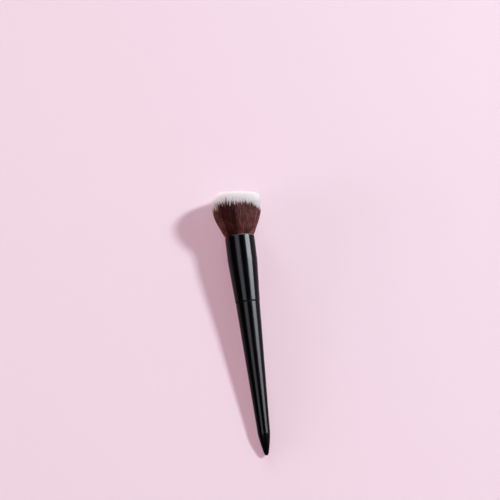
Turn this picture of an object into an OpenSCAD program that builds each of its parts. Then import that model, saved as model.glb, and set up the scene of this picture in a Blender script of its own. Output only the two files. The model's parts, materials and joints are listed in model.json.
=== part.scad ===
// A blush brush: a turned wooden handle, a drawn metal ferrule and a domed knot of two-tone fibres.
// Each piece is modelled along the brush's own axis, with the tip of the handle at zero and the
// head up. laid_down() then rests the brush on its side, with the head towards +X, so that it
// touches the surface at the widest ring of the knot and at the shoulder of the nose.

/* [Handle] */
// Length of the handle outside the ferrule, from the tip to the joint
handle_len = 96; // [80:1:120]
// Length of the nose, from the tip to its shoulder
nose_len = 13.5; // [10:0.5:20]
// Width across the nose at its shoulder
nose_d = 7.7; // [6:0.1:9]
// Radius of the rounded tip
tip_r = 1.4; // [0.8:0.1:2]
// Radius of the nose's rounded side
nose_side_r = 80; // [60:5:200]
// Radius that blends the nose into the long taper
nose_blend_r = 12; // [4:1:20]
// How far the handle stands in from the ferrule at the joint
joint_step = 0.15; // [0:0.05:0.25]
// Rounding of the handle's shoulder at the joint
shoulder_r = 0.3; // [0.2:0.05:0.5]

/* [Tenon] */
// Length of the tenon, from the handle's shoulder
tenon_len = 16; // [12:1:20]
// Chamfer round the end of the tenon
tenon_chamfer = 0.8; // [0.4:0.1:1.5]
// Number of glue grooves turned in the tenon
groove_count = 3; // [1:1:4]
// Width of a glue groove
groove_w = 1.2; // [0.8:0.1:2]
// Depth of a glue groove
groove_depth = 0.4; // [0.2:0.1:0.8]

/* [Ferrule] */
// Length of the ferrule
ferrule_len = 42.5; // [36:0.5:50]
// Width across the ferrule at its mouth
mouth_d = 19; // [18:0.1:22]
// Length of the straight part below the mouth
mouth_len = 15.5; // [14:0.5:20]
// Width across the ferrule at the joint
joint_d = 15.6; // [14:0.1:17]
// Thickness of the ferrule's wall
ferrule_wall = 0.4; // [0.3:0.05:0.45]
// Outer radius of the lip, where the mouth is turned in
lip_r = 0.45; // [0.45:0.05:0.9]
// Rounding of the ferrule's edge at the joint
edge_r = 0.3; // [0.2:0.05:0.4]
// Radius that blends the taper into the straight part
swage_r = 30; // [10:5:60]

/* [Knot of fibres] */
// Height of the knot above the mouth
head_h = 30.5; // [28:0.5:38]
// Width across the knot at its widest ring
head_d = 31.4; // [26:0.2:36]
// Height of the widest ring above the mouth
belly_h = 15.5; // [14:0.5:20]
// How much shorter the outermost strands stand than the middle ones
dome_drop = 7; // [4:0.5:8]
// How far the outline draws in between the widest ring and the top
crown_in = 3; // [1:0.5:5]
// Length of the pointed end of a strand
point_len = 3; // [2:0.5:4]
// Number of strands
strand_count = 400; // [300:10:400]

/* [Resin and binding] */
// Depth of the resin's face below the mouth
resin_depth = 5.5; // [4:0.5:7]
// Thickness of the resin that holds the strands
slice_t = 1; // [0.8:0.1:1.5]
// Thickness of the rest of the resin plug
plug_t = 7; // [6:0.5:9]
// Thickness of the binding thread
thread_d = 0.7; // [0.5:0.1:0.9]
// Number of turns of thread
thread_turns = 4; // [2:1:5]

/* [Clearances] */
// Width of the groove between the ferrule's end and the handle's shoulder
joint_gap = 0.5; // [0.2:0.05:0.6]
// Room for glue round the tenon at the joint
glue_gap = 0.15; // [0.1:0.05:0.3]
// Room between the resin and the ferrule's wall
bond_gap = 0.05; // [0.02:0.01:0.1]
// Room between the knot and the lip of the mouth
lip_gap = 0.1; // [0.05:0.05:0.3]

/* [Hidden] */
$fn = 96;

// Steps in each rounded corner of an outline
arc_steps = 8;
// Steps in the rounded tip
tip_steps = 12;
// Steps along the nose's side
side_steps = 8;

// Heights along the brush, from the tip of the handle
ferrule_z = handle_len + joint_gap;
mouth_z = ferrule_z + ferrule_len;
swage_z = mouth_z - mouth_len;
tenon_top_z = handle_len + tenon_len;
slice_z = mouth_z - resin_depth - slice_t;
plug_z = slice_z - plug_t;
belly_z = mouth_z + belly_h;
top_z = mouth_z + head_h;

// Radii
mouth_r = mouth_d / 2;
joint_r = joint_d / 2;
handle_r = joint_r - joint_step;
tenon_r = joint_r - ferrule_wall - glue_gap;
nose_r = nose_d / 2;
bore_r = mouth_r - ferrule_wall;
opening_r = mouth_r - lip_r - ferrule_wall / 4;
bundle_r = opening_r - lip_gap;
head_r = head_d / 2;

// The side of the nose is an arc that passes through its shoulder and runs into the round of the
// tip: the arc's centre lies at nose_turn from the centre of the tip
tip_centre = [0, tip_r];
nose_reach = norm([nose_r, nose_len] - tip_centre);
nose_arm = nose_side_r - tip_r;
nose_turn = atan2(nose_len - tip_r, nose_r)
    + acos((pow(nose_arm, 2) + pow(nose_reach, 2) - pow(nose_side_r, 2)) / (2 * nose_arm * nose_reach));
nose_centre = tip_centre + nose_arm * [cos(nose_turn), sin(nose_turn)];

// The brush leans on the shoulder of its nose and on the widest ring of its knot
rest_tilt = atan((head_r - nose_r) / (belly_z - nose_len));
rest_z = nose_r * cos(rest_tilt) - nose_len * sin(rest_tilt);
rest_x = top_z * cos(rest_tilt) / 2;

// How sharply the dome falls away towards its rim
dome_power = 6;
// Radius of a strand as a share of the spiral's step
strand_share = 0.78;
strand_sides = 3;
golden_angle = 180 * (3 - sqrt(5));

// Direction from one point to another
function towards(from, to) = (to - from) / norm(to - from);

// The arc of radius r that rounds a corner between its neighbours
function corner_arc(before, corner, after, r) =
    let (
        u = towards(corner, before),
        v = towards(corner, after),
        half = acos(max(-1, min(1, u * v))) / 2,
        centre = corner + (u + v) / norm(u + v) * r / sin(half),
        start = corner + u * r / tan(half) - centre,
        turn = (u.x * v.y - u.y * v.x > 0 ? -1 : 1) * (180 - 2 * half)
    )
    [for (i = [0 : arc_steps])
        let (a = turn * i / arc_steps)
        centre + [start.x * cos(a) - start.y * sin(a), start.x * sin(a) + start.y * cos(a)]];

// An outline from corners given as [x, y, radius]
function rounded(corners) =
    let (n = len(corners), at = [for (c = corners) [c.x, c.y]])
    [for (i = [0 : n - 1])
        each corners[i].z > 0
            ? corner_arc(at[(i + n - 1) % n], at[i], at[(i + 1) % n], corners[i].z)
            : [at[i]]];

// The inner wall of the ferrule from the joint to under the lip, drawn in by inset
function bore_line(inset) = [
    [joint_r - ferrule_wall - inset, ferrule_z, 0],
    [bore_r - inset, swage_z, swage_r],
    [bore_r - inset, mouth_z - ferrule_wall - inset, lip_r - ferrule_wall]
];

function reversed(list) = [for (i = [len(list) - 1 : -1 : 0]) list[i]];

// Lays the brush down from its own axis onto the surface
module laid_down() {
    translate([-rest_x, 0, rest_z]) rotate([0, 90 - rest_tilt, 0]) children();
}

// Half section of the bore between two heights
module bore_section(inset, from_z, to_z) {
    intersection() {
        polygon(concat([[0, ferrule_z]], rounded(bore_line(inset)), [[0, mouth_z - ferrule_wall]]));
        translate([0, from_z]) square([mouth_r, to_z - from_z]);
    }
}

// Half section of the handle with its tenon
module handle_section() {
    groove_pitch = (tenon_len - tenon_chamfer) / (groove_count + 1);
    tip_end = nose_turn - 180;
    side_end = asin((nose_len - nose_centre.y) / nose_side_r);
    tip = [for (i = [0 : tip_steps])
        let (a = -90 + (tip_end + 90) * i / tip_steps)
        concat(tip_centre + tip_r * [cos(a), sin(a)], 0)];
    side = [for (i = [1 : side_steps - 1])
        let (a = tip_end + (side_end - tip_end) * i / side_steps)
        concat(nose_centre + nose_side_r * [cos(a), sin(a)], 0)];
    body = [
        [nose_r, nose_len, nose_blend_r],
        [handle_r, handle_len, min(shoulder_r, handle_r - tenon_r)],
        [tenon_r, handle_len, 0]
    ];
    grooves = [for (i = [1 : groove_count])
        let (mid = handle_len + groove_pitch * i, low = mid - groove_w / 2, high = mid + groove_w / 2)
        each [
            [tenon_r, low, 0],
            [tenon_r - groove_depth, low, 0],
            [tenon_r - groove_depth, high, 0],
            [tenon_r, high, 0]
        ]];
    end = [
        [tenon_r, tenon_top_z - tenon_chamfer, 0],
        [tenon_r - tenon_chamfer, tenon_top_z, 0],
        [0, tenon_top_z, 0]
    ];
    polygon(rounded(concat(tip, side, body, grooves, end)));
}

module handle() {
    color([0.05, 0.05, 0.055]) laid_down() rotate_extrude() handle_section();
}

// The glue fills the wedge between the straight tenon and the tapered wall
module tenon_glue() {
    color([0.85, 0.8, 0.62]) laid_down() rotate_extrude() difference() {
        bore_section(0, ferrule_z, tenon_top_z - tenon_chamfer);
        handle_section();
    }
}

module ferrule() {
    outer = [
        [joint_r, ferrule_z, min(edge_r, ferrule_wall)],
        [mouth_r, swage_z, swage_r],
        [mouth_r, mouth_z, lip_r],
        [opening_r, mouth_z, 0],
        [opening_r, mouth_z - ferrule_wall, 0]
    ];
    color([0.1, 0.1, 0.11]) laid_down() rotate_extrude()
        polygon(rounded(concat(outer, reversed(bore_line(0)))));
}

// The turns of the thread lie side by side and overlap a little, so that they are one piece
module thread_section(grow) {
    pitch = thread_d * 0.9;
    for (i = [0 : thread_turns - 1])
        translate([bundle_r - thread_d, plug_z + plug_t / 2 + pitch * (i - (thread_turns - 1) / 2)])
            circle(d = thread_d + 2 * grow);
}

module knot_resin() {
    color([0.72, 0.6, 0.38]) laid_down() rotate_extrude() difference() {
        bore_section(bond_gap, plug_z, slice_z);
        thread_section(bond_gap);
    }
}

module binding_thread() {
    color([0.9, 0.88, 0.82]) laid_down() rotate_extrude() thread_section(0);
}

// Radius of the knot's outline at a height above the widest ring
function crown_r(h) = head_r - crown_in * pow((h - belly_h) / (head_h - belly_h), 2);

// Rings of a strand as [height above the mouth, radius of the outline there]
function strand_rings(share) =
    let (end_h = head_h - dome_drop * pow(share, dome_power), neck_h = end_h - point_len)
    [
        [-resin_depth - slice_t / 2, bundle_r],
        [0, bundle_r],
        [belly_h, head_r],
        [neck_h, crown_r(neck_h)],
        [end_h, crown_r(end_h)]
    ];

// Strands stand on a golden spiral and spread alike, so that none meets another. The last strand
// points down, where the brush lies on its knot.
function strand_points(i) =
    let (
        root = sqrt(strand_count),
        share = sqrt((i + 0.5) / strand_count),
        turn = (i - strand_count + 1) * golden_angle,
        rings = strand_rings(share),
        last = len(rings) - 1
    )
    [for (k = [0 : last])
        let (step = rings[k][1] / (root + strand_share), centre = share * root * step)
        each [for (j = [0 : k == last ? 0 : strand_sides - 1])
            let (r = k == last ? 0 : strand_share * step, a = turn + 360 * j / strand_sides)
            [
                centre * cos(turn) + r * cos(a),
                centre * sin(turn) + r * sin(a),
                mouth_z + rings[k][0]
            ]]];

// Faces of a strand whose points start at first, with its pointed end as the last point
function strand_faces(first, rings) =
    let (n = strand_sides, apex = first + n * rings)
    concat(
        [[for (j = [0 : n - 1]) first + j]],
        [for (k = [0 : rings - 2], j = [0 : n - 1])
            let (a = first + k * n + j, b = first + k * n + (j + 1) % n)
            each [[a, a + n, b + n], [a, b + n, b]]],
        [for (j = [0 : n - 1]) [apex - n + j, apex, apex - n + (j + 1) % n]]
    );

module bristles() {
    rings = len(strand_rings(0)) - 1;
    points = [for (i = [0 : strand_count - 1]) each strand_points(i)];
    faces = [for (i = [0 : strand_count - 1]) each strand_faces(i * (strand_sides * rings + 1), rings)];
    color([0.36, 0.22, 0.2]) laid_down() union() {
        translate([0, 0, slice_z]) cylinder(r = bore_r - bond_gap, h = slice_t);
        polyhedron(points, faces);
    }
}

handle();
tenon_glue();
ferrule();
knot_resin();
binding_thread();
bristles();
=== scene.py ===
# A blush brush at rest on a pale floor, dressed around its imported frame
import json
import math

import bmesh
import bpy
from mathutils import Matrix, Vector


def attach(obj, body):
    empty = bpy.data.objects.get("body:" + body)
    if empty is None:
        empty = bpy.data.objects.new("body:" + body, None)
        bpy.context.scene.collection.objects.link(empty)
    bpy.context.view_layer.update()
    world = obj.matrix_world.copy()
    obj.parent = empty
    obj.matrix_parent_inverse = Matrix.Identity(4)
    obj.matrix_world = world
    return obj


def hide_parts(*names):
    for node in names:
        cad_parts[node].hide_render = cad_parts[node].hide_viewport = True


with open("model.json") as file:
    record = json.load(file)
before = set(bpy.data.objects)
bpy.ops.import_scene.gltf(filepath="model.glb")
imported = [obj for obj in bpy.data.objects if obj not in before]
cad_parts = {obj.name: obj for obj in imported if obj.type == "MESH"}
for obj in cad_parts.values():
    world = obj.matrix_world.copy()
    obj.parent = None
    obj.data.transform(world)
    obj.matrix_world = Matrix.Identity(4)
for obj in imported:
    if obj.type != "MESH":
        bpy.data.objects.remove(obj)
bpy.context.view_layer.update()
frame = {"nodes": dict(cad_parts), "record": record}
mm = 0.001

# The brush's own axis comes from the frame: the seat on the ferrule lies on it
seat = frame["record"]["mounts"][0]
seatPlace = Vector(seat["pos_m"])
towardsHead = -Vector(seat["axis"]).normalized()


def reachOf(nodeName):
    # lowest and highest place of a CAD node along the brush, from the seat
    places = [(v.co - seatPlace).dot(towardsHead) for v in frame["nodes"][nodeName].data.vertices]
    return min(places), max(places)


tipAt = reachOf("handle")[0]
jointAt, mouthAt = reachOf("ferrule")
topAt = reachOf("bristles")[1]
mouthCentre = seatPlace + towardsHead * mouthAt


def placed(place, xWay, yWay, zWay):
    # turns the three axes to these ways and moves them to a place
    return Matrix.Translation(place) @ Matrix((xWay, yWay, zWay)).transposed().to_4x4()


# Brush frame: z along the brush from the middle of the mouth, y across, x down
sideways = Vector((0, 1, 0))
downwards = sideways.cross(towardsHead)
brushFrame = placed(mouthCentre, downwards, sideways, towardsHead)
print("brush", round((topAt - tipAt) / mm, 1), "mm long, handle", round((jointAt - tipAt) / mm, 1), "mm")


# Node helpers

def addNode(tree, kind, inputs=None, **settings):
    node = tree.nodes.new(kind)
    for name, value in settings.items():
        setattr(node, name, value)
    for key, value in (inputs or {}).items():
        socket = node.inputs[key]
        if isinstance(value, bpy.types.NodeSocket):
            tree.links.new(value, socket)
        else:
            socket.default_value = value
    return node


def calc(tree, operation, *values, clamp=False):
    return addNode(tree, "ShaderNodeMath", dict(enumerate(values)), operation=operation,
                   use_clamp=clamp).outputs[0]


def blendRange(tree, value, low, high, lowTo=0.0, highTo=1.0, kind="SMOOTHSTEP"):
    return addNode(tree, "ShaderNodeMapRange", {"Value": value, "From Min": low, "From Max": high,
                                                "To Min": lowTo, "To Max": highTo},
                   interpolation_type=kind).outputs["Result"]


def mixColour(tree, factor, first, second):
    node = addNode(tree, "ShaderNodeMix", {"Factor": factor}, data_type="RGBA")
    for socket, value in ((node.inputs[6], first), (node.inputs[7], second)):
        if isinstance(value, bpy.types.NodeSocket):
            tree.links.new(value, socket)
        else:
            socket.default_value = (*value, 1)
    return node.outputs[2]


def newMaterial(name, **values):
    # constant values go straight on the shader's own sockets
    material = bpy.data.materials.new(name)
    material.use_nodes = True
    shader = material.node_tree.nodes["Principled BSDF"]
    for key, value in values.items():
        if isinstance(value, tuple):
            value = (*value, 1)
        shader.inputs[key.replace("_", " ")].default_value = value
    return material, material.node_tree, shader


def brushCoords(tree):
    # object coordinates turned onto the brush: z along it from the mouth
    coords = addNode(tree, "ShaderNodeTexCoord").outputs["Object"]
    turned = brushFrame.inverted()
    return addNode(tree, "ShaderNodeMapping", {
        "Vector": coords, "Location": turned.translation, "Rotation": turned.to_euler()}).outputs["Vector"]


def alongBrush(tree):
    return addNode(tree, "ShaderNodeSeparateXYZ", {"Vector": brushCoords(tree)}).outputs["Z"]


def noise(tree, coords, scale, detail=2.0, roughness=0.5):
    return addNode(tree, "ShaderNodeTexNoise", {"Vector": coords, "Scale": scale, "Detail": detail,
                                                "Roughness": roughness}).outputs["Fac"]


def bump(tree, height, distance, strength=1.0):
    return addNode(tree, "ShaderNodeBump", {"Height": height, "Distance": distance,
                                            "Strength": strength}).outputs["Normal"]


def cutEdge(tree, along, sides, *levels):
    # blends across a cut edge, between two places that are given from the joint
    low, high = (jointAt - mouthAt + side for side in sides)
    return blendRange(tree, along, low, high, *levels)


def dulled(tree, rough, where, roughness):
    return addNode(tree, "ShaderNodeMix", {"Factor": where, "A": rough, "B": roughness}).outputs[0]


def smudged(tree, coords, look):
    # a polish that is not quite even
    smudges = noise(tree, coords, look["smudgeScale"], 5, 0.6)
    return blendRange(tree, smudges, *look["smudgeRange"], *look["roughness"])


# Handle: black lacquer over turned wood, left rough at its shoulder, where the band of light breaks off

handleLook = {
    "colour": (0.0012, 0.0011, 0.0016),
    "gloss": 1.165,
    "roughness": (0.17, 0.24),
    "smudgeScale": 60,
    "smudgeRange": (0.35, 0.7),
    "peelScale": 900,
    "peelHeight": 0.0035 * mm,
    "cutEdge": (-0.81 * mm, -0.56 * mm),
    "edgeRoughness": 0.85,
}


def lacquer(look):
    material, tree, shader = newMaterial("blackLacquer", Base_Color=look["colour"], IOR=look["gloss"])
    coords = brushCoords(tree)
    edge = cutEdge(tree, alongBrush(tree), look["cutEdge"])
    rough = dulled(tree, smudged(tree, coords, look), edge, look["edgeRoughness"])
    tree.links.new(rough, shader.inputs["Roughness"])
    peel = noise(tree, coords, look["peelScale"])
    tree.links.new(bump(tree, peel, look["peelHeight"]), shader.inputs["Normal"])
    return material


# Ferrule: black enamel on drawn aluminium, bare inside the mouth, and bare at its trimmed edge only on the
# lit right side; the enamelled left of that edge is painted shade

ferruleLook = {
    "colour": (0.0011, 0.0011, 0.0017),
    "gloss": 1.18,
    "bareColour": (0.78, 0.72, 0.71),
    "bareRadius": 9.15 * mm,
    "bareDepth": 8 * mm,
    "bareEdge": 0.05 * mm,
    "trimmed": 0.22 * mm,
    # painted shade: the trimmed edge is bare only on the lit right side, where it shows a thin line of
    # light, and enamelled on its left
    "bareLipOnLitSideTo": (1.5 * mm, 5.5 * mm),
    "roughness": (0.15, 0.2),
    "bareRoughness": 0.3,
    "smudgeScale": 80,
    "smudgeRange": (0.35, 0.7),
    "cutEdge": (0.07 * mm, 0.32 * mm),
    "edgeRoughness": 0.85,
    "drawnLines": 2600,
    "lineHeight": 0.001 * mm,
}


def enamel(look):
    material, tree, shader = newMaterial("blackEnamel", IOR=look["gloss"])
    coords = brushCoords(tree)
    x, y, along = addNode(tree, "ShaderNodeSeparateXYZ", {"Vector": coords}).outputs
    radius = calc(tree, "SQRT", calc(tree, "MULTIPLY_ADD", x, x, calc(tree, "MULTIPLY", y, y)))
    inside = blendRange(tree, radius, look["bareRadius"] - look["bareEdge"], look["bareRadius"], 1.0, 0.0)
    bare = calc(tree, "MULTIPLY", inside, calc(tree, "GREATER_THAN", along, -look["bareDepth"]))
    # painted shade: the bare trimmed edge fades out towards the left, leaving enamel there
    bareLipOnLitSide = blendRange(tree, y, *look["bareLipOnLitSideTo"], 1.0, 0.0)
    trimmed = blendRange(tree, along, -look["trimmed"] - look["bareEdge"], -look["trimmed"])
    bare = calc(tree, "MAXIMUM", bare, calc(tree, "MULTIPLY", trimmed, bareLipOnLitSide))
    tree.links.new(mixColour(tree, bare, look["colour"], look["bareColour"]), shader.inputs["Base Color"])
    tree.links.new(bare, shader.inputs["Metallic"])
    edge = cutEdge(tree, along, look["cutEdge"], 1.0, 0.0)
    rough = dulled(tree, smudged(tree, coords, look), edge, look["edgeRoughness"])
    tree.links.new(dulled(tree, rough, bare, look["bareRoughness"]), shader.inputs["Roughness"])
    lines = noise(tree, coords, look["drawnLines"], 1)
    tree.links.new(bump(tree, lines, look["lineHeight"]), shader.inputs["Normal"])
    return material


# Hidden pieces: resin, thread and glue

hiddenLook = {
    "resin": {
        "colour": (0.42, 0.27, 0.09),
        "gloss": 1.5,
        "roughness": 0.22,
        "cloudScale": 300,
        "cloudsAndShadeColour": (0.6, 0.46, 0.24),
    },
    "glue": {
        "colour": (0.66, 0.58, 0.36),
        "gloss": 1.05,
        "roughness": 0.4,
        "cloudScale": 500,
        "cloudsAndShadeColour": (0.74, 0.68, 0.5),
        "lacqueredTo": 1.2 * mm,
    },
    "thread": {
        "colour": (0.78, 0.74, 0.66),
        "gloss": 1.4,
        "roughness": 0.85,
        "cloudScale": 4000,
        "cloudsAndShadeColour": (0.6, 0.56, 0.48),
    },
}

cloudHeight = 0.02 * mm


def cloudy(name, look):
    material, tree, shader = newMaterial(name, Roughness=look["roughness"], IOR=look["gloss"])
    clouds = noise(tree, brushCoords(tree), look["cloudScale"], 4)
    # the second colour is the clouds' own colour; on the mass of tips it is painted shade between the tips
    colour = mixColour(tree, clouds, look["colour"], look["cloudsAndShadeColour"])
    if "lacqueredTo" in look:
        # the lacquer runs into the joint over the first of the glue
        clear = calc(tree, "GREATER_THAN", alongBrush(tree), jointAt - mouthAt + look["lacqueredTo"])
        colour = mixColour(tree, clear, handleLook["colour"], colour)
    tree.links.new(colour, shader.inputs["Base Color"])
    tree.links.new(bump(tree, clouds, cloudHeight), shader.inputs["Normal"])
    return material


cadFinishes = {
    "handle": lacquer(handleLook),
    "ferrule": enamel(ferruleLook),
    "knot_resin": cloudy("setResin", hiddenLook["resin"]),
    "tenon_glue": cloudy("setGlue", hiddenLook["glue"]),
    "binding_thread": cloudy("cottonThread", hiddenLook["thread"]),
}
for nodeName, finish in cadFinishes.items():
    frame["nodes"][nodeName].data.materials.clear()
    frame["nodes"][nodeName].data.materials.append(finish)
print("rigid pieces finished")


# Knot of fibres: every fibre is one curve on a golden spiral, spread, domed and clumped by the tree

knotShape = {
    # height above the mouth and radius, both in mm
    "outline": [(0, 8.8), (1, 9.4), (5, 11.15), (12.5, 14.2), (15.5, 14.75), (20, 14.95), (24, 14.9),
                (31, 13.8)],
    "fibres": 12000,
    "steps": 12,
    "seed": 7,
    "rootDepth": 5.6 * mm,
    "fibreRadius": 0.078 * mm,
    "tipRadius": 0.038 * mm,
    "tipCap": 0.4,
    "finerFrom": 0.82,
    # the dome and its ragged top, lower and more ragged on the left
    "height": 28.65 * mm,
    "domeDrop": 5.6 * mm,
    "domePower": 11.0,
    "domeLeft": 0.57,
    "tilt": 1.3 * mm,
    "tiltBack": 2.2 * mm,
    "uneven": 1.6 * mm,
    "unevenInside": 0.5,
    "unevenRim": 0.7,
    "unevenMean": 1.2,
    "unevenLeft": 0.2,
    "endRange": (-0.4, 1.6),
    "longEnds": 4.0,
    # the dye line, where spikes are the dark ones that stand up and the white ones that hang down
    "whiteLength": 5.1 * mm,
    "dyeDrop": 2.2 * mm,
    "dyeTilt": 0.35 * mm,
    "dyeSag": 3.4 * mm,
    "dyeSagPower": 4.0,
    "dyeUneven": 2.6 * mm,
    "dyeLeft": 0.45,
    "dyeChance": 0.3,
    "darkSpikes": 4.4,
    "whiteSpikes": 3.6,
    "spikeScale": 19,
    "spikeDepth": 0.25,
    # how the fibres leave their straight way
    "lean": 0.8 * mm,
    "spread": 0.045,
    "clumpScale": 17,
    "clumpPull": 1.2 * mm,
    "stray": 0.17 * mm,
    "strayRim": 1.5,
    "loosening": 1.6,
    "sway": 0.2 * mm,
    "swayTurns": 2.2,
    "flare": 0.55 * mm,
    "flarePower": 1.5,
    "bendPower": 3.0,
    "reach": 16.15 * mm,
    "reachBlend": 0.5 * mm,
}

# rings of the knot from its middle outwards, and how many fibres each has
knotParts = {"knotCore": 2400, "knotInner": 2400, "knotMiddle": 2400, "knotOuter": 2400, "knotRim": 2400}

fibreLook = {
    "dark": (0.007, 0.0009, 0.0008),
    "light": (0.184, 0.0495, 0.0445),
    "white": (0.92, 0.858, 0.88),
    "whiteShade": (0.825, 0.74, 0.768),
    "tone": 0.475,
    "toneRange": (-0.6, 1.15),
    "tonePower": 2.2,
    "streakScale": 18,
    "streakShape": (1, 1, 0.35),
    "streakDepth": 4.6,
    "fibreDepth": 0.5,
    # painted shade: a darker patch of fibres on the knot's upper side, left of the middle, where the light
    # from the right falls off
    "paintedShadePlace": (-0.9, 0.39, 0),
    "paintedShadeReach": (0.2, 0.54),
    "paintedShadeDepth": 0.86,
    # painted shade: fibres are darkened within rootReach of the mouth, where they are packed and shaded
    "rootShade": 0.36,
    "rootReach": 7 * mm,
    "dyeEdge": 0.85 * mm,
    "roughness": 0.5,
    "gloss": 1.115,
    "glow": 0.7,
    "glowDepth": (0.4 * mm, 0.3 * mm, 0.3 * mm),
}


def fibreMaterial(look):
    material, tree, shader = newMaterial("syntheticFibre", Roughness=look["roughness"], IOR=look["gloss"],
                                         Subsurface_Weight=look["glow"], Subsurface_Scale=1.0)
    shader.inputs["Subsurface Radius"].default_value = look["glowDepth"]

    def attribute(name, output="Fac"):
        return addNode(tree, "ShaderNodeAttribute", attribute_name=name).outputs[output]

    def stretched(coords, scale):
        return addNode(tree, "ShaderNodeMapping", {"Vector": coords, "Scale": scale}).outputs[0]

    # streaks follow the fibres, on top of each fibre's own tone; painted shade darkens a patch on the knot's
    # upper side, left of the middle, and the roots near the mouth
    strand = attribute("strand", "Vector")
    streaks = noise(tree, stretched(strand, look["streakShape"]), look["streakScale"], 4, 0.62)
    streaks = calc(tree, "SUBTRACT", streaks, 0.5)
    away = addNode(tree, "ShaderNodeVectorMath", {0: stretched(strand, (1, 1, 0)), 1: look["paintedShadePlace"]},
                   operation="DISTANCE").outputs["Value"]
    # painted shade: fibres near this place are darkened
    paintedShade = blendRange(tree, away, *look["paintedShadeReach"], look["paintedShadeDepth"], 0.0)
    # painted shade darkens the fibres close to the mouth
    paintedRootShade = blendRange(tree, alongBrush(tree), 0.0, look["rootReach"], look["rootShade"], 0.0)
    tone = calc(tree, "MULTIPLY_ADD", streaks, look["streakDepth"], look["tone"])
    tone = calc(tree, "MULTIPLY_ADD", attribute("tone"), look["fibreDepth"], tone)
    tone = calc(tree, "SUBTRACT", calc(tree, "SUBTRACT", tone, paintedShade), paintedRootShade)
    tone = blendRange(tree, tone, *look["toneRange"], kind="LINEAR")
    tone = calc(tree, "POWER", tone, look["tonePower"])
    dyed = blendRange(tree, attribute("belowDyeLine"), -look["dyeEdge"], look["dyeEdge"])
    brown = mixColour(tree, tone, look["dark"], look["light"])
    white = mixColour(tree, tone, look["whiteShade"], look["white"])
    tree.links.new(mixColour(tree, dyed, white, brown), shader.inputs["Base Color"])
    return material


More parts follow.
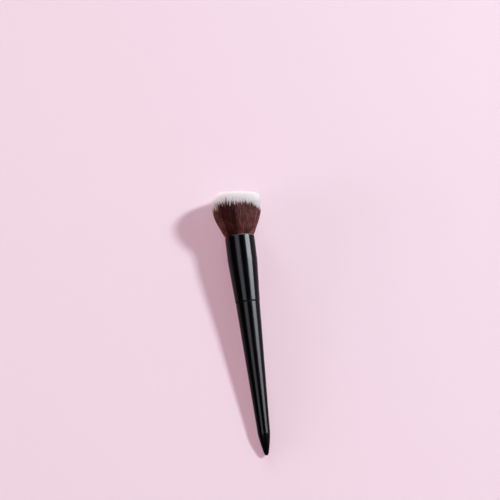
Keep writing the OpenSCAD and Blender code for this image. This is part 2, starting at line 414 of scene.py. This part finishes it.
def knotTree(shape, material):
    tree = bpy.data.node_groups.new("knotOfFibres", "GeometryNodeTree")
    tree.is_modifier = True
    for name in ("First fibre", "Fibres"):
        tree.interface.new_socket(name, in_out="INPUT", socket_type="NodeSocketInt")
    tree.interface.new_socket("Geometry", in_out="OUTPUT", socket_type="NodeSocketGeometry")
    given = addNode(tree, "NodeGroupInput").outputs
    draws = ["tone", "length", "strayX", "strayY", "dye", "flare", "swayX", "swayY"]

    def do(operation, *values, **more):
        return calc(tree, operation, *values, **more)

    def chain(operation, first, *others):
        for other in others:
            first = do(operation, first, other)
        return first

    def add(*values):
        return chain("ADD", *values)

    def less(*values):
        return chain("SUBTRACT", *values)

    def times(*values):
        return chain("MULTIPLY", *values)

    def power(value, exponent):
        return do("POWER", value, exponent)

    def grown(value, factor, start=1.0):
        # start plus so much of the value
        return do("MULTIPLY_ADD", value, factor, start)

    def store(geometry, name, value, kind="FLOAT"):
        return addNode(tree, "GeometryNodeStoreNamedAttribute",
                       {"Geometry": geometry, "Name": name, "Value": value}, data_type=kind).outputs[0]

    def stored(name):
        return addNode(tree, "GeometryNodeInputNamedAttribute", {"Name": name}, data_type="FLOAT").outputs[0]

    def vector(**parts):
        return addNode(tree, "ShaderNodeCombineXYZ", parts).outputs[0]

    def chance(draw, low, high):
        seed = shape["seed"] + 1 + draws.index(draw)
        node = addNode(tree, "FunctionNodeRandomValue", {"ID": stored("number"), "Seed": seed},
                       data_type="FLOAT")
        node.inputs[2].default_value = low
        node.inputs[3].default_value = high
        return node.outputs[1]

    # one point for each fibre, numbered from the middle of the knot outwards
    points = addNode(tree, "GeometryNodePoints", {"Count": given["Fibres"]}).outputs[0]
    index = addNode(tree, "GeometryNodeInputIndex").outputs[0]
    points = store(points, "number", add(index, given["First fibre"]))
    share = do("SQRT", do("DIVIDE", add(stored("number"), 0.5), shape["fibres"]))
    points = store(points, "share", share)
    turn = times(stored("number"), math.pi * (3 - math.sqrt(5)))
    points = store(points, "rootX", times(stored("share"), do("COSINE", turn)))
    points = store(points, "rootY", times(stored("share"), do("SINE", turn)))

    # neighbours share a wander, which draws them into clumps
    root = vector(X=stored("rootX"), Y=stored("rootY"))
    wander = addNode(tree, "ShaderNodeTexNoise", {"Vector": root, "Scale": shape["clumpScale"],
                                                "Detail": 2.5, "Roughness": 0.62}).outputs["Color"]
    drift = addNode(tree, "ShaderNodeSeparateXYZ", {"Vector": wander}).outputs
    points = store(points, "driftX", less(drift[0], 0.5))
    points = store(points, "driftY", less(drift[1], 0.5))
    points = store(points, "tone", chance("tone", -1, 1))

    # spikes of dye run inwards from the rim, so that they stay whole under the first fibres
    around = vector(X=do("COSINE", turn), Y=do("SINE", turn), Z=times(stored("share"), shape["spikeDepth"]))
    points = store(points, "spike", less(noise(tree, around, shape["spikeScale"], 1.5, 0.6), 0.5))

    # outer fibres end lower and more raggedly, and the top tilts a little
    rim = power(stored("share"), shape["domePower"])
    tilted = add(times(shape["tilt"], stored("rootY")), times(shape["tiltBack"], stored("rootX")))
    shortest, longest = shape["endRange"]
    ragged = times(
        shape["uneven"],
        grown(power(rim, 2.0), shape["unevenRim"], shape["unevenInside"]),
        grown(stored("rootY"), shape["unevenLeft"], shape["unevenMean"]),
        grown(power(chance("length", 0, 1), shape["longEnds"]), longest - shortest, shortest))
    rounded = times(shape["domeDrop"], rim, grown(stored("rootY"), shape["domeLeft"]))
    points = store(points, "end", add(less(shape["height"], rounded), tilted, ragged))

    # the dye line follows the top, sags at the sides and is broken by the spikes
    spike = stored("spike")
    spiked = do("MAXIMUM", times(spike, shape["darkSpikes"]), times(spike, shape["whiteSpikes"]))
    patchy = times(add(spiked, chance("dye", -shape["dyeChance"], shape["dyeChance"])),
                   grown(stored("rootY"), shape["dyeLeft"]))
    sagged = times(shape["dyeSag"], power(do("ABSOLUTE", stored("rootY")), shape["dyeSagPower"]))
    level = less(shape["height"] - shape["whiteLength"], times(shape["dyeDrop"], rim))
    level = less(add(level, tilted, times(shape["dyeTilt"], stored("rootY"))), sagged)
    points = store(points, "dyeLine", add(level, times(shape["dyeUneven"], patchy)))

    # the fibres, as curves whose points are moved into place
    line = addNode(tree, "GeometryNodeCurvePrimitiveLine", {"End": (0, 0, 1)}).outputs[0]
    line = addNode(tree, "GeometryNodeResampleCurve", {"Curve": line, "Count": shape["steps"]}).outputs[0]
    fibres = addNode(tree, "GeometryNodeInstanceOnPoints", {"Points": points, "Instance": line}).outputs[0]
    fibres = addNode(tree, "GeometryNodeRealizeInstances", {"Geometry": fibres}).outputs[0]
    # the first step is the root in the resin, and the last one closes the tip
    step = addNode(tree, "GeometryNodeSplineParameter").outputs["Index"]
    isRoot = do("LESS_THAN", step, 0.5)
    isTip = do("GREATER_THAN", step, shape["steps"] - 1.5)
    rise = do("DIVIDE", less(step, 1.0), shape["steps"] - 3, clamp=True)
    height = less(times(rise, stored("end")), times(isRoot, shape["rootDepth"]))
    fibres = store(fibres, "rise", rise)
    fibres = store(fibres, "height", add(height, times(isTip, shape["tipRadius"])))
    fibres = store(fibres, "belowDyeLine", less(stored("dyeLine"), stored("height")))
    fibres = store(fibres, "strand", vector(X=stored("rootX"), Y=stored("rootY"), Z=rise), "FLOAT_VECTOR")

    # the outline, as a curve of radius against height
    heights = [point[0] * mm for point in shape["outline"]]
    radii = [point[1] * mm for point in shape["outline"]]
    profile = addNode(tree, "ShaderNodeFloatCurve",
                      {"Value": do("DIVIDE", stored("height"), heights[-1], clamp=True)})
    curve = profile.mapping.curves[0]
    while len(curve.points) < len(heights):
        curve.points.new(0.5, 0.5)
    for point, h, r in zip(curve.points, heights, radii):
        point.location = (h / heights[-1], r / max(radii))
        point.handle_type = "AUTO_CLAMPED"
    profile.mapping.update()
    bent = power(stored("rise"), shape["bendPower"])
    flared = times(shape["flare"], rim, power(chance("flare", 0, 1), shape["flarePower"]))
    radius = add(times(profile.outputs[0], max(radii)), times(flared, bent))

    # clumps draw together towards their tips, and each fibre sways and strays a little by itself
    loose = power(stored("rise"), shape["loosening"])
    free = times(shape["stray"], grown(rim, shape["strayRim"]))
    turned = times(stored("rise"), shape["swayTurns"] * 2 * math.pi)
    moved = []
    for axis in "XY":
        together = times(stored("drift" + axis), shape["clumpPull"])
        offset = times(add(together, times(chance("stray" + axis, -1, 1), free)), loose)
        swaying = do("SINE", add(turned, chance("sway" + axis, 0, 2 * math.pi)))
        swaying = times(shape["sway"], swaying, do("SQRT", stored("rise")))
        moved.append(add(times(radius, stored("root" + axis)), offset, swaying))

    # the lowest fibres lie on the floor, and the knot's reach to the right is held
    floorDepth = (mouthCentre.z - shape["fibreRadius"]) / -downwards.z
    floorSlope = towardsHead.z / -downwards.z
    x = do("MINIMUM", moved[0], add(floorDepth, times(floorSlope, stored("height"))))
    y = less(times(moved[1], grown(bent, shape["spread"])), times(shape["lean"], loose))
    y = do("SMOOTH_MAX", y, -shape["reach"], shape["reachBlend"])
    fibres = addNode(tree, "GeometryNodeSetPosition",
                     {"Geometry": fibres, "Position": vector(X=x, Y=y, Z=stored("height"))}).outputs[0]

    # drawn finer towards a rounded tip
    fine = blendRange(tree, stored("rise"), shape["finerFrom"], 1.0, 1.0, 0.0)
    thick = grown(fine, shape["fibreRadius"] - shape["tipRadius"], shape["tipRadius"])
    thick = times(thick, grown(isTip, shape["tipCap"] - 1))
    section = addNode(tree, "GeometryNodeCurvePrimitiveCircle", {"Resolution": 3, "Radius": 1.0}).outputs[0]
    mesh = addNode(tree, "GeometryNodeCurveToMesh", {"Curve": fibres, "Profile Curve": section,
                                                     "Scale": thick, "Fill Caps": True}).outputs[0]
    mesh = addNode(tree, "GeometryNodeSetShadeSmooth", {"Geometry": mesh}).outputs[0]
    mesh = addNode(tree, "GeometryNodeSetMaterial", {"Geometry": mesh, "Material": material}).outputs[0]
    addNode(tree, "NodeGroupOutput", {"Geometry": mesh})
    return tree


def growKnot(tree, name, first, count):
    # runs the tree on one ring of the knot and keeps the result as a plain mesh
    grower = bpy.data.objects.new(name + "Grower", bpy.data.meshes.new(name + "Seed"))
    bpy.context.scene.collection.objects.link(grower)
    modifier = grower.modifiers.new("knot", "NODES")
    modifier.node_group = tree
    values = {"First fibre": first, "Fibres": count}
    for item in tree.interface.items_tree:
        if item.in_out == "INPUT":
            modifier[item.identifier] = values[item.name]
    evaluated = grower.evaluated_get(bpy.context.evaluated_depsgraph_get())
    mesh = bpy.data.meshes.new_from_object(evaluated)
    mesh.transform(brushFrame)
    grower.modifiers.remove(modifier)
    bpy.data.objects.remove(grower)
    piece = bpy.data.objects.new(name, mesh)
    bpy.context.scene.collection.objects.link(piece)
    return piece


def standForStrands(piece):
    # every piece of the dressed knot stands for the source's node of strands
    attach(piece, "root")
    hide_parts("bristles")


knotOfFibres = knotTree(knotShape, fibreMaterial(fibreLook))
firstFibre = 0
for name, count in knotParts.items():
    ring = growKnot(knotOfFibres, name, firstFibre, count)
    standForStrands(ring)
    firstFibre += count
    print(name, len(ring.data.polygons), "faces")


# Resin face that the fibres stand in, drawn up a little where it wets the ferrule

resinFace = {
    "depth": 5.5 * mm,
    "thickness": 1.0 * mm,
    "radius": 9.05 * mm,
    "wetHeight": 0.35 * mm,
    "wetReach": 1.05 * mm,
    "wetSteps": 6,
    "turns": 96,
}

weldDistance = 0.0001 * mm


def lathe(name, outline, turns, material, lean=Matrix()):
    # spins an outline of (radius, height) about the brush's axis, and leans the result if asked to
    mesh = bpy.data.meshes.new(name)
    work = bmesh.new()
    verts = [work.verts.new((r, 0, z)) for r, z in outline]
    edges = [work.edges.new(pair) for pair in zip(verts, verts[1:])]
    bmesh.ops.spin(work, geom=verts + edges, axis=(0, 0, 1), cent=(0, 0, 0), steps=turns,
                   angle=2 * math.pi, use_duplicate=False)
    bmesh.ops.remove_doubles(work, verts=work.verts, dist=weldDistance)
    bmesh.ops.recalc_face_normals(work, faces=work.faces)
    work.to_mesh(mesh)
    work.free()
    mesh.transform(brushFrame @ lean)
    mesh.materials.append(material)
    piece = bpy.data.objects.new(name, mesh)
    bpy.context.scene.collection.objects.link(piece)
    return piece


def resinOutline(shape):
    top = -shape["depth"]
    low = top - shape["thickness"]
    shares = [i / shape["wetSteps"] for i in range(shape["wetSteps"], -1, -1)]
    rim = [(shape["radius"] - shape["wetReach"] * (1 - share), top + shape["wetHeight"] * share ** 2)
           for share in shares]
    return [(0, low), (shape["radius"], low), *rim, (0, top)]


standForStrands(lathe("resinFace", resinOutline(resinFace), resinFace["turns"], cadFinishes["knot_resin"]))
print("knot potted")


# Mass of tips under the dome, which stands for the finer fibres that close the real knot's face; its dark
# clouds are painted shade between the tips

tipMass = {
    "drop": 2.3 * mm,
    "skirt": 0.3 * mm,
    "radius": 14.3 * mm,
    "rings": 14,
    "turns": 64,
    "look": {
        "colour": (0.93, 0.88, 0.9),
        "gloss": 1.1,
        "roughness": 0.8,
        "cloudScale": 2000,
        # painted shade: dark clouds between the tips
        "cloudsAndShadeColour": (0.2, 0.165, 0.175),
    },
}


def massOutline(shape, knot, knotRadius):
    top = knot["height"] - shape["drop"]
    radii = [shape["radius"] * i / shape["rings"] for i in range(shape["rings"], -1, -1)]
    face = [(r, top - knot["domeDrop"] * (r / knotRadius) ** knot["domePower"]) for r in radii]
    low = face[0][1] - shape["skirt"]
    return [(0, low), (shape["radius"], low), *face]


def massLean(knot, knotRadius):
    # leans and tilts the mass as the tips of the fibres are
    lean = Matrix.Translation((0, -knot["lean"], 0))
    lean[2][0] = knot["tiltBack"] / knotRadius
    lean[2][1] = knot["tilt"] / knotRadius
    return lean


knotRadius = max(point[1] for point in knotShape["outline"]) * mm
standForStrands(lathe("tipMass", massOutline(tipMass, knotShape, knotRadius), tipMass["turns"],
                      cloudy("tipMass", tipMass["look"]), massLean(knotShape, knotRadius)))
print("face of the knot closed")


# Floor, lights and camera

studio = {
    "floorSide": 8.0,
    "floorColour": (0.477, 0.477, 0.524),
    "floorTint": (0.356, 0.172, 0.214),
    "grainScale": 35,
    "grainShade": 0.985,
    "walls": (0.36, 0.31, 0.34),
    "ceiling": (0.03, 0.03, 0.034),
    "wallTop": (0.25, 0.6),
    "horizon": (0.86, 0.68, 0.77),
    "overhead": (0.003, 0.003, 0.004),
    "horizonTop": (0.0, 0.09),
}

cameraSetup = {
    "lens": 85,
    "sensor": 36,
    "imageSide": 500,
    "mouthPixel": (239.65, 237.2),
    "mouthDepth": 0.757,
    "leanLeft": math.radians(7.16),
    "leanBack": math.radians(11.8),
}

# angle is round the brush from the camera, to the right; radiance 1 is a white card in plain light
lamps = {
    "key": {"angle": 50, "distance": 2.4, "along": 0.44, "across": 0.3, "length": 0.3,
            "radiance": 250, "colour": (1.0, 0.985, 0.985)},
    "top": {"angle": -36, "distance": 0.8, "along": 3.77, "across": 1.83, "length": 1.83,
            "radiance": 10.9, "colour": (1.0, 0.99, 0.99)},
    "left": {"angle": -80, "distance": 1.2, "along": 0.0, "across": 0.5, "length": 0.6,
             "radiance": 9.3, "colour": (1.0, 0.78, 0.83)},
}

# cards that only gloss shows, which draw the bands of light on the lacquer
cards = {
    "longCard": {"angle": 60, "distance": 1.2, "along": 0.14, "across": 0.76, "length": 0.72,
                 "radiance": 28, "colour": (0.93, 0.93, 1.0)},
    "headCard": {"angle": 60, "distance": 1.19, "along": 0.285, "across": 0.74, "length": 0.47,
                 "radiance": 27, "colour": (0.82, 0.94, 1.0)},
    "sideCard": {"angle": -22, "distance": 1.5, "along": 0.1, "across": 0.78, "length": 1.0,
                 "radiance": 8, "colour": (0.9, 0.92, 1.0)},
    "lipCard": {"angle": 64, "distance": 1.0, "along": 1.0, "across": 2.2, "length": 0.9,
                "radiance": 1.3, "colour": (1.0, 0.88, 0.9)},
}


def makeFloor(look):
    half = look["floorSide"] / 2
    mesh = bpy.data.meshes.new("floor")
    corners = [(-half, -half, 0), (half, -half, 0), (half, half, 0), (-half, half, 0)]
    mesh.from_pydata(corners, [], [(0, 1, 2, 3)])
    floor = bpy.data.objects.new("floor", mesh)
    bpy.context.scene.collection.objects.link(floor)
    material, tree, shader = newMaterial("paleFloor", Roughness=1.0, Specular_IOR_Level=0.0)
    grain = noise(tree, addNode(tree, "ShaderNodeTexCoord").outputs["Object"], look["grainScale"], 3)
    shade = tuple(look["grainShade"] * c for c in look["floorColour"])
    tree.links.new(mixColour(tree, grain, shade, look["floorColour"]), shader.inputs["Base Color"])
    paths = addNode(tree, "ShaderNodeLightPath").outputs
    shader.inputs["Emission Color"].default_value = (*look["floorTint"], 1)
    tree.links.new(calc(tree, "MAXIMUM", paths["Is Camera Ray"], paths["Is Glossy Ray"]),
                   shader.inputs["Emission Strength"])
    floor.data.materials.append(material)


def cameraAxes(setup):
    # back points at the viewer, up and right are the image's own
    tilt, lean = setup["leanBack"], setup["leanLeft"]
    back = (-towardsHead * math.sin(tilt) - downwards * math.cos(tilt)).normalized()
    risen = (towardsHead - back * towardsHead.dot(back)).normalized()
    across = risen.cross(back)
    up = across * math.sin(lean) + risen * math.cos(lean)
    right = across * math.cos(lean) - risen * math.sin(lean)
    return right, up, back


def makeCamera(setup):
    right, up, back = cameraAxes(setup)
    pixel = setup["sensor"] / setup["lens"] / setup["imageSide"] * setup["mouthDepth"]
    middle = setup["imageSide"] / 2
    aside = (setup["mouthPixel"][0] - middle) * pixel
    above = (middle - setup["mouthPixel"][1]) * pixel
    place = mouthCentre - right * aside - up * above + back * setup["mouthDepth"]
    camera = bpy.data.objects.new("camera", bpy.data.cameras.new("camera"))
    camera.data.lens = setup["lens"]
    camera.data.sensor_width = setup["sensor"]
    camera.data.clip_start = 0.01
    camera.matrix_world = placed(place, right, up, back)
    bpy.context.scene.collection.objects.link(camera)
    bpy.context.scene.camera = camera


def makeLamp(name, lamp, glossOnly):
    angle = math.radians(lamp["angle"])
    away = -downwards * math.cos(angle) - sideways * math.sin(angle)
    place = mouthCentre + away * lamp["distance"] + towardsHead * lamp["along"]
    light = bpy.data.lights.new(name, "AREA")
    light.shape = "RECTANGLE"
    light.size = lamp["across"]
    light.size_y = lamp["length"]
    light.energy = lamp["radiance"] * math.pi * lamp["across"] * lamp["length"]
    light.color = lamp["colour"]
    lampObject = bpy.data.objects.new(name, light)
    back = (place - mouthCentre).normalized()
    side = towardsHead.cross(back).normalized()
    lampObject.matrix_world = placed(place, side, back.cross(side), back)
    lampObject.visible_camera = False
    lampObject.visible_diffuse = not glossOnly
    lampObject.visible_transmission = not glossOnly
    lampObject.visible_volume_scatter = not glossOnly
    lampObject.visible_glossy = glossOnly
    bpy.context.scene.collection.objects.link(lampObject)


def makeWorld(look):
    # pale to the eye, dark overhead in gloss, and a plain soft ambient light
    world = bpy.data.worlds.new("studio")
    bpy.context.scene.world = world
    world.use_nodes = True
    tree = world.node_tree
    tree.nodes.clear()
    direction = addNode(tree, "ShaderNodeTexCoord").outputs["Generated"]
    height = addNode(tree, "ShaderNodeSeparateXYZ", {"Vector": direction}).outputs["Z"]
    risen = blendRange(tree, height, *look["horizonTop"])
    mirrored = mixColour(tree, risen, look["horizon"], look["overhead"])
    paths = addNode(tree, "ShaderNodeLightPath").outputs
    seen = mixColour(tree, paths["Is Glossy Ray"], look["horizon"], mirrored)
    isSeen = calc(tree, "MAXIMUM", paths["Is Camera Ray"], paths["Is Glossy Ray"])
    room = mixColour(tree, blendRange(tree, height, *look["wallTop"]), look["walls"], look["ceiling"])
    ambient = addNode(tree, "ShaderNodeBackground", {"Color": room, "Strength": 1.0}).outputs[0]
    backdrop = addNode(tree, "ShaderNodeBackground", {"Color": seen, "Strength": 1.0}).outputs[0]
    mixed = addNode(tree, "ShaderNodeMixShader", {0: isSeen, 1: ambient, 2: backdrop}).outputs[0]
    addNode(tree, "ShaderNodeOutputWorld", {"Surface": mixed})


makeFloor(studio)
makeWorld(studio)
makeCamera(cameraSetup)
for name, lamp in lamps.items():
    makeLamp(name, lamp, False)
for name, card in cards.items():
    makeLamp(name, card, True)
bpy.context.scene.view_settings.view_transform = "Standard"
print("studio set")
